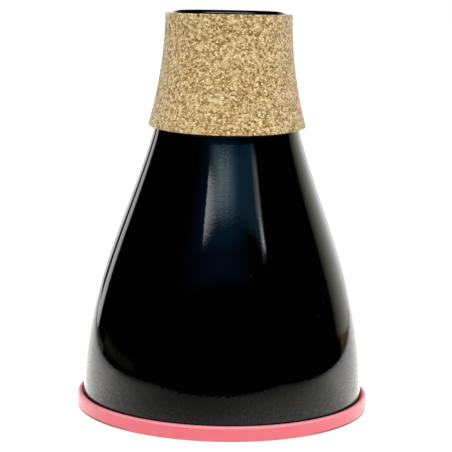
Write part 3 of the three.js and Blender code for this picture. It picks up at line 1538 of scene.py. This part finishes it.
@dataclass(frozen=True)
class Backdrop:
    """How bright the far white backdrop and the far lights are in the gloss, by the direction they lie in.

    Directions are degrees from straight behind the mute, above zero to its right, and heights are degrees
    over the horizon. Low down, beyond the paper, runs a dim brownish band.
    """

    middle: float = 1.15
    middle_rise: Span = (-1.0, 1.0)
    right_level: float = 1.75
    right_rise: Span = (10.0, 27.0)
    right_fall: Span = (30.0, 67.0)
    right_power: float = 0.8
    left_end: float = -28.5
    left_level: float = 1.4
    left_rise: Span = (-8.0, -20.0)
    soft: float = 3.0
    gap_foot: Span = (-2.8, -4.4)
    bar: Span = (-44.8, -35.5)
    bar_level: float = 1.75
    top: Span = (24.0, 15.0)
    band_start: Span = (39.0, 44.0)
    band_end: Span = (64.0, 58.0)
    band_left_z: float = -4.6
    band_right_z: float = -2.35
    band_middle: float = 57.5
    band_slope: float = 0.134
    band_soft: float = 1.0
    band_level: float = 0.28
    band_colour: Colour = (1.2, 0.88, 0.52, 1.0)
    white: Colour = (1.0, 1.0, 1.0, 1.0)
    warm: Colour = (1.0, 0.995, 0.79, 1.0)
    warm_towards: Span = (30.0, 60.0)
    behind: Span = (14.0, 9.0)
    behind_foot: Span = (0.2, 1.4)
    behind_bar: Span = (40.0, 50.0)
    behind_level: float = 2.4
    lamp_edge: Span = (-154.4, -155.4)
    lamp_fade: Span = (-178.4, -132.7)
    lamp_foot: float = 29.8
    lamp_slant: float = 0.158
    lamp_soft: float = 1.08
    lamp_top: Span = (40.0, 34.0)
    lamp_light: Light = (8.95, 9.14, 9.0)
    strip: Span = (134.8, 137.4)
    strip_soft: float = 5.2
    strip_foot: Span = (25.0, 28.8)
    strip_light: Light = (2.46, 2.5, 2.5)
    dim: Span = (-102.0, -62.0)
    dim_heights: Span = (-4.3, -1.8)
    dim_soft: float = 1.6
    dim_size: float = 0.02
    dim_levels: Span = (0.3, 0.7)
    dim_light: Light = (0.12, 0.14, 0.06)

    def light(self, nodes: ShaderNodes, direction: Shade) -> Shade:
        """Adds the nodes that say how bright a direction is.

        Args:
            nodes: The world's nodes.
            direction: The direction.

        Returns:
            The background.
        """
        around = direction.sum("ARCTAN2", direction.part("X"), direction.part("Y")) * math.degrees(1)
        height = direction.sum("ARCSINE", direction.part("Z")) * math.degrees(1)
        on_right = around.rise(*self.middle_rise)
        seen = self.right(around) * on_right + self.left(around, height) * (1 - on_right)
        outward = abs(around)
        slant = (around - self.band_middle) * self.band_slope + (self.band_right_z - self.band_left_z)
        foot = height - (self.band_left_z + slant * on_right)
        under = foot.rise(self.band_soft / 2, -self.band_soft / 2) * outward.rise(*self.band_start)
        band = outward.rise(*self.band_end) * self.band_level
        behind = outward.rise(*self.behind)
        bar = behind * height.within(self.behind_bar, self.soft) * self.behind_level
        level = (seen * (1 - under) + band * under) * height.rise(*self.top)
        level = level * (1 - behind * height.rise(*self.behind_foot)) + bar
        pale = nodes.mix(around.rise(*self.warm_towards), self.white, self.warm)
        tint = nodes.mix(under, pale, self.band_colour)
        light = nodes.lit(tint, level)
        for colour, share in self.lights(nodes, direction, around, height):
            light = nodes.together(light, nodes.lit(colour, share))
        return nodes.add("ShaderNodeBackground", None, {"Color": light})

    def lights(
        self, nodes: ShaderNodes, direction: Shade, around: Shade, height: Shade
    ) -> tuple[tuple[Light, Shade], ...]:
        """The far lights: the lamp in front on the left, a strip in front on the right, and a dim low patch.

        Args:
            nodes: The world's nodes.
            direction: The direction.
            around: How far round it is.
            height: How high it is.

        Returns:
            Each light's colour and how strong it is in that direction.
        """
        foot = height + (around - self.lamp_edge[0]) * self.lamp_slant
        lamp = around.rise(*self.lamp_edge) * around.rise(*self.lamp_fade) * height.rise(*self.lamp_top)
        lamp = lamp * foot.rise(self.lamp_foot - self.lamp_soft, self.lamp_foot + self.lamp_soft)
        strip = around.within(self.strip, self.strip_soft) * height.rise(*self.strip_foot)
        strip = strip * height.rise(*self.lamp_top)
        dim = around.within(self.dim, self.strip_soft) * height.within(self.dim_heights, self.dim_soft)
        blotches = nodes.clouds(direction, self.dim_size, detail=4, roughness=0.7)
        dim = dim * blotches.rise(*self.dim_levels)
        return (self.lamp_light, lamp), (self.strip_light, strip), (self.dim_light, dim)

    def right(self, around: Shade) -> Shade:
        """The brightness to the right, which peaks and then fades out.

        Args:
            around: How far round the direction is.

        Returns:
            The brightness.
        """
        start, end = self.right_fall
        fall = ((end - around) / (end - start)).clamped() ** self.right_power
        return fall * (self.middle + (self.right_level - self.middle) * around.rise(*self.right_rise))

    def left(self, around: Shade, height: Shade) -> Shade:
        """The brightness to the left: open as far as a dark gap, then one upright bar.

        Args:
            around: How far round the direction is.
            height: How high it is.

        Returns:
            The brightness.
        """
        level = self.middle + (self.left_level - self.middle) * around.rise(*self.left_rise)
        half = self.soft / 2
        open_part = around.rise(self.left_end - half, self.left_end + half)
        bar = around.within(self.bar, self.soft) * self.bar_level
        gap = around.within((self.bar[1], self.left_end), self.soft) * height.rise(*self.gap_foot)
        return open_part * level + bar + gap * level


def stage_sheet(
    name: str, corners: list[Place], paint: Callable[[ShaderNodes], Shade]
) -> bpy.types.Object:
    """Puts a flat sheet of the studio in the scene.

    Args:
        name: The name of the sheet and its material.
        corners: Its corners, in order.
        paint: Adds its nodes and gives back its surface.

    Returns:
        The sheet.
    """
    mesh = bpy.data.meshes.new(name)
    mesh.from_pydata(corners, [], [tuple(range(len(corners)))])
    material = new_material(name, paint)
    material.cycles.emission_sampling = "NONE"
    mesh.materials.append(material)
    sheet = linked(name, mesh)
    return sheet


def upright(distance: float, across: Span, heights: Span) -> list[Place]:
    """Works out the corners of an upright sheet in front of the mute.

    Args:
        distance: How far in front it stands.
        across: The places of its left and right sides.
        heights: The heights of its foot and its top.

    Returns:
        Its corners, in order.
    """
    (left, right), (low, high) = across, heights
    return [(x, -distance, z) for x, z in ((left, low), (right, low), (right, high), (left, high))]


class Card(ABC):
    """A lit card that only the gloss shows: no camera, shadow or matt surface sees it."""

    name: ClassVar[str]

    @abstractmethod
    def paint(self, nodes: ShaderNodes) -> Shade:
        """Adds the card's nodes and gives back its surface."""

    @abstractmethod
    def corners(self) -> list[Place]:
        """The card's corners, in order."""

    def make(self) -> bpy.types.Object:
        """Puts the card in the scene.

        Returns:
            The card.
        """
        card = stage_sheet(self.name, self.corners(), self.paint)
        card.visible_camera = False
        card.visible_diffuse = False
        card.visible_transmission = False
        card.visible_shadow = False
        return card


@dataclass(frozen=True)
class LampPanel(Card):
    """The soft panel in front of the mute and above the camera, which shows in the shell's shoulder.

    It is a veil: it adds its light, and what is behind it still shows. It is cloudy, brightest left of its
    middle, and dims to a deep blue on the right. It has a narrow warm wing there and a faint blue halo.
    """

    name: ClassVar[str] = "lamp_panel"
    distance: float = 313 * MM
    ends: Span = (-330 * MM, 310 * MM)
    heights: Span = (120 * MM, 310 * MM)
    foot: Span = (238 * MM, 260 * MM)
    foot_climb_from: float = 8 * MM
    foot_climb: float = 0.043
    foot_rag: float = 9 * MM
    start: Span = (-163 * MM, 20 * MM)
    fade: Span = (-49 * MM, 107 * MM)
    stop: Span = (296 * MM, 266 * MM)
    cool: Light = (2.3, 3.09, 3.2)
    deep: Light = (0.08, 0.31, 0.52)
    halo_start: Span = (-324 * MM, 339 * MM)
    halo_stop: Span = (185 * MM, -64 * MM)
    halo_foot: Span = (212 * MM, 241 * MM)
    halo: Light = (0.02, 0.33, 0.66)
    far_halo_foot: Span = (165 * MM, 196 * MM)
    far_halo: Light = (0.04, 0.17, 0.42)
    wing: Span = (238 * MM, 264 * MM)
    wing_soft: float = 16 * MM
    wing_foot: Span = (272 * MM, 286 * MM)
    wing_light: Light = (0.75, 0.55, 0.48)
    cloud_size: float = 22 * MM
    cloud_squash: float = 5.0
    lit_levels: Span = (0.6, 1.4)
    halo_levels: Span = (0.7, 1.3)

    def paint(self, nodes: ShaderNodes) -> Shade:
        """Adds the nodes: the lit part, which fades to the deep one, the halo round them and the wing.

        Args:
            nodes: The material's nodes.

        Returns:
            The surface.
        """
        place = nodes.place()
        across, up = place.part("X"), place.part("Z")
        squashed = place.scaled((1, 1, self.cloud_squash))
        cloud = nodes.clouds(squashed, self.cloud_size, detail=5, roughness=0.62)
        wing = across.within(self.wing, self.wing_soft) * up.rise(*self.wing_foot)
        past = across - self.foot_climb_from
        climb = past.sum("MAXIMUM", past, 0.0) * self.foot_climb
        ragged = up - climb + (cloud - 0.5) * self.foot_rag
        lit = ragged.rise(*self.foot) * across.rise(*self.start) * across.rise(*self.stop)
        lit = lit * cloud.spread(*self.lit_levels)
        fade = across.rise(*self.fade)
        round_it = across.rise(*self.halo_start) * across.rise(*self.halo_stop)
        round_it = round_it * cloud.spread(*self.halo_levels)
        layers = (
            (self.cool, lit * (1 - fade)),
            (self.deep, lit * fade),
            (self.halo, round_it * ragged.rise(*self.halo_foot)),
            (self.far_halo, round_it * up.rise(*self.far_halo_foot)),
            (self.wing_light, wing),
        )
        light = nodes.lit(*layers[0])
        for layer in layers[1:]:
            light = nodes.together(light, nodes.lit(*layer))
        return nodes.veil(light)

    def corners(self) -> list[Place]:
        """The panel's corners, in order."""
        return upright(self.distance, self.ends, self.heights)


@dataclass(frozen=True)
class StripCard(Card):
    """The small card near the mute's right, which brightens the lower end of the upright streak."""

    name: ClassVar[str] = "strip_card"
    distance: float = 100 * MM
    middle: float = 77.4 * MM
    half_width: float = 3.7 * MM
    side_soft: float = 5 * MM
    foot: Span = (103.5 * MM, 110.5 * MM)
    top: Span = (130.6 * MM, 109 * MM)
    light: Light = (3.9, 4.0, 4.0)

    def paint(self, nodes: ShaderNodes) -> Shade:
        """Adds the nodes: a spot with soft sides, foot and top.

        Args:
            nodes: The material's nodes.

        Returns:
            The surface.
        """
        place = nodes.place()
        across, up = place.part("X"), place.part("Z")
        span = (self.middle - self.half_width, self.middle + self.half_width)
        spot = across.within(span, self.side_soft) * up.rise(*self.foot) * up.rise(*self.top)
        return nodes.veil(nodes.lit(self.light, spot))

    def corners(self) -> list[Place]:
        """Works out the corners, just beyond the spot.

        Returns:
            The corners, in order.
        """
        reach = self.half_width + self.side_soft / 2
        heights = (self.foot[0], self.top[0])
        return upright(self.distance, (self.middle - reach, self.middle + reach), heights)


@dataclass(frozen=True)
class PaperSheet(Card):
    """The white paper that the mute stands on, as the gloss shows it: bright behind and dim in front.

    Its edges look torn and its face flecked, drawn out round the mute, because the gloss isn't even.
    """

    name: ClassVar[str] = "paper_sheet"
    left: float = -226 * MM
    right: float = 258 * MM
    front: float = -190 * MM
    back: float = 400 * MM
    left_slope: float = -0.16
    right_slope: float = 0.2
    front_slope: float = -0.17
    level: float = 2.15
    front_level: float = 0.2
    fade: float = 60 * MM
    left_fade: float = 45 * MM
    right_fade: float = 35 * MM
    front_soft: float = 30 * MM
    front_spare: float = 80 * MM
    tear_size: float = 9 * MM
    tear_reach: float = 140 * MM
    side_tear: float = 0.3
    fleck_size: float = 3.2 * MM
    fleck_share: float = 0.6
    fleck_levels: Span = (0.3, 0.7)
    fleck_reach: float = 185 * MM
    stretch: float = 0.4
    colour: Light = (1.01, 0.998, 0.955)
    shade: float = 0.42
    shade_x: float = -45 * MM
    shade_y: float = -105 * MM
    shade_size: float = 75 * MM
    shade_span: Span = (1.3, 0.3)
    drop: float = 0.05 * MM

    def corner(self, x: float, y: float, slope: float) -> Place:
        """A corner of the sheet, from a side's place and slope and the y that it is at."""
        return x + slope * y, y, -self.drop

    def paint(self, nodes: ShaderNodes) -> Shade:
        """Adds the nodes: the light falls off towards the camera and the sides, round a soft shadow.

        Args:
            nodes: The material's nodes.

        Returns:
            The surface.
        """
        place = nodes.place()
        x, y = place.part("X"), place.part("Y")
        falling = y.sum("EXPONENT", y.sum("MINIMUM", y, 0.0) / self.fade)
        level = self.front_level + (self.level - self.front_level) * falling
        from_left = x - (self.left + self.left_slope * y)
        from_right = self.right + self.right_slope * y - x
        away = (x**2 + y**2) ** 0.5
        around = x.sum("ARCTAN2", x, y * -1.0) * self.fleck_reach
        drawn = nodes.add("ShaderNodeCombineXYZ", None, {0: around, 1: away * self.stretch})
        tear = nodes.clouds(drawn, self.tear_size, detail=4, roughness=0.65)
        tear = (tear - 0.5) * self.tear_reach
        from_front = y - (self.front + self.front_slope * x) + tear
        for side, fade in ((from_left, self.left_fade), (from_right, self.right_fade)):
            inside = side + tear * self.side_tear
            level = level * (1 - inside.sum("EXPONENT", inside / -fade))
        shaded = ((x - self.shade_x) ** 2 + (y - self.shade_y) ** 2) ** 0.5 / self.shade_size
        level = level * (1 - self.shade * shaded.rise(*self.shade_span))
        level = level * from_front.rise(0.0, self.front_soft)
        fleck = nodes.clouds(drawn, self.fleck_size, roughness=0.6).rise(*self.fleck_levels)
        level = level * (1 - self.fleck_share / 2 + self.fleck_share * fleck)
        return nodes.glow(nodes.lit(self.colour, level.sum("MAXIMUM", level, 0.0)))

    def corners(self) -> list[Place]:
        """Works out the corners, with some to spare in front, where the edge is drawn and not cut.

        Returns:
            The corners, in order.
        """
        front = self.front - self.front_spare
        return [
            self.corner(self.left, front + self.front_slope * self.left, self.left_slope),
            self.corner(self.right, front + self.front_slope * self.right, self.right_slope),
            self.corner(self.right, self.back, self.right_slope),
            self.corner(self.left, self.back, self.left_slope),
        ]


@dataclass(frozen=True)
class Floor:
    """The white floor that the camera sees, which keeps the mute's faint shadow."""

    half_width: float = 8.0
    colour: Colour = (0.6, 0.6, 0.6, 1.0)
    lift: float = 0.62
    drop: float = 0.1 * MM

    def paint(self, nodes: ShaderNodes) -> Shade:
        """Adds the nodes: a matt floor, which is lifted to white where it is looked at.

        Args:
            nodes: The material's nodes.

        Returns:
            The surface.
        """
        matt = nodes.add("ShaderNodeBsdfDiffuse", None, {"Color": self.colour})
        both = nodes.add("ShaderNodeAddShader", None, {0: matt, 1: nodes.glow((1, 1, 1, 1), self.lift)})
        return nodes.choose(nodes.seen_by(Ray.CAMERA, Ray.THROUGH), matt, both)

    def make(self) -> bpy.types.Object:
        """Puts the floor in the scene.

        Returns:
            The floor.
        """
        signs = ((-1, -1), (1, -1), (1, 1), (-1, 1))
        corners = [(self.half_width * x, self.half_width * y, -self.drop) for x, y in signs]
        floor = stage_sheet("floor", corners, self.paint)
        floor.visible_glossy = False
        return floor


@dataclass(frozen=True)
class Studio:
    """The plain white studio: the world, the floor, the cards in the gloss and the soft lamps."""

    ambient: float = 0.93
    floor: Floor = Floor()
    paper: PaperSheet = PaperSheet()
    panel: LampPanel = LampPanel()
    strip: StripCard = StripCard()
    backdrop: Backdrop = Backdrop()

    def lamps(self, middle: Vector) -> tuple[Lamp, ...]:
        """The lamps over the mute and in front of it.

        Args:
            middle: The mute's middle, which they aim at.

        Returns:
            The lamps.
        """
        return (
            Lamp("lamp_over", place=Vector((0.25, -0.15, 1.55)), aim=middle, width=1.1, watts=6.0),
            Lamp("lamp_front", place=Vector((0.15, -1.7, 0.75)), aim=middle, width=1.2, watts=5.7),
        )

    def world(self) -> None:
        """Makes the world: white to the camera, the backdrop to the gloss, and even light to all else."""
        world = bpy.data.worlds.new("studio")
        bpy.context.scene.world = world
        nodes = ShaderNodes(world)
        direction = nodes.add("ShaderNodeTexCoord", None, None, "Generated")
        far = self.backdrop.light(nodes, direction)
        even, white = (
            nodes.add("ShaderNodeBackground", None, {"Color": (1, 1, 1, 1), "Strength": strength})
            for strength in (self.ambient, 1.0)
        )
        matt_or_gloss = nodes.choose(nodes.seen_by(Ray.GLOSSY), even, far)
        all_rays = nodes.choose(nodes.seen_by(Ray.CAMERA, Ray.THROUGH), matt_or_gloss, white)
        nodes.add("ShaderNodeOutputWorld", None, {"Surface": all_rays})

    def make(self, middle: Vector) -> None:
        """Sets the studio up round the mute.

        Args:
            middle: The mute's middle.
        """
        self.world()
        for item in (self.floor, self.paper, self.panel, self.strip, *self.lamps(middle)):
            item.make()
        bpy.context.scene.view_settings.view_transform = "Standard"


@dataclass(frozen=True)
class Viewpoint:
    """Where the photograph was taken from."""

    place: Vector = Vector((0.33 * MM, -547.0 * MM, 144.5 * MM))
    pitch: float = math.radians(81.55)
    roll: float = math.radians(1.10)
    focal_pixels: float = 1579.86
    picture_pixels: float = 452
    sensor: float = 36.0

    def make(self) -> bpy.types.Object:
        """Makes the camera the scene's own.

        Returns:
            The camera.
        """
        data = bpy.data.cameras.new("camera")
        data.sensor_width = self.sensor
        data.lens = self.sensor * self.focal_pixels / self.picture_pixels
        camera = linked("camera", data)
        tilt = Matrix.Rotation(self.pitch, 4, "X") @ Matrix.Rotation(self.roll, 4, "Z")
        camera.matrix_world = Matrix.Translation(self.place) @ tilt
        bpy.context.scene.camera = camera
        return camera


def main() -> None:
    """Builds the camera, the studio and the mute's parts, in order."""
    logging.basicConfig(level=logging.INFO, format="%(message)s")
    Viewpoint().make()
    low, high = cad_box
    Studio().make((low + high) / 2)

    shell, tube = Shell(GlossBlack()), VentTube(ExtrudedBlack())
    flare, shell_foot_z = shell.flare(), shell.low().z
    plate_low, plate_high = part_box(BasePlate.node)
    grommet = VentGrommet(GrommetRubber(), tube.high().x, (plate_low.z, shell_foot_z))
    parts = [
        shell,
        CorkCollar(GranulatedCork(), flare),
        RimBumper(BumperRubber(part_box(RimBumper.node)[1].x), plate_low.z, plate_high.x, shell_foot_z),
        BasePlate(
            MouldedBlack(),
            shell_foot_z=shell_foot_z,
            shell_inside=flare.foot_radius - shell.wall,
            hole_radius=grommet.hole_radius(),
            grommet_radius=grommet.high().x,
        ),
        tube,
        grommet,
        BaseFoam(OpenCellFoam()),
        WallFoam(OpenCellFoam(), flare, shell.wall),
    ]
    for part in parts:
        part.make()
    log.info("%d pieces", len(parts))


if __name__ == "__main__":
    main()
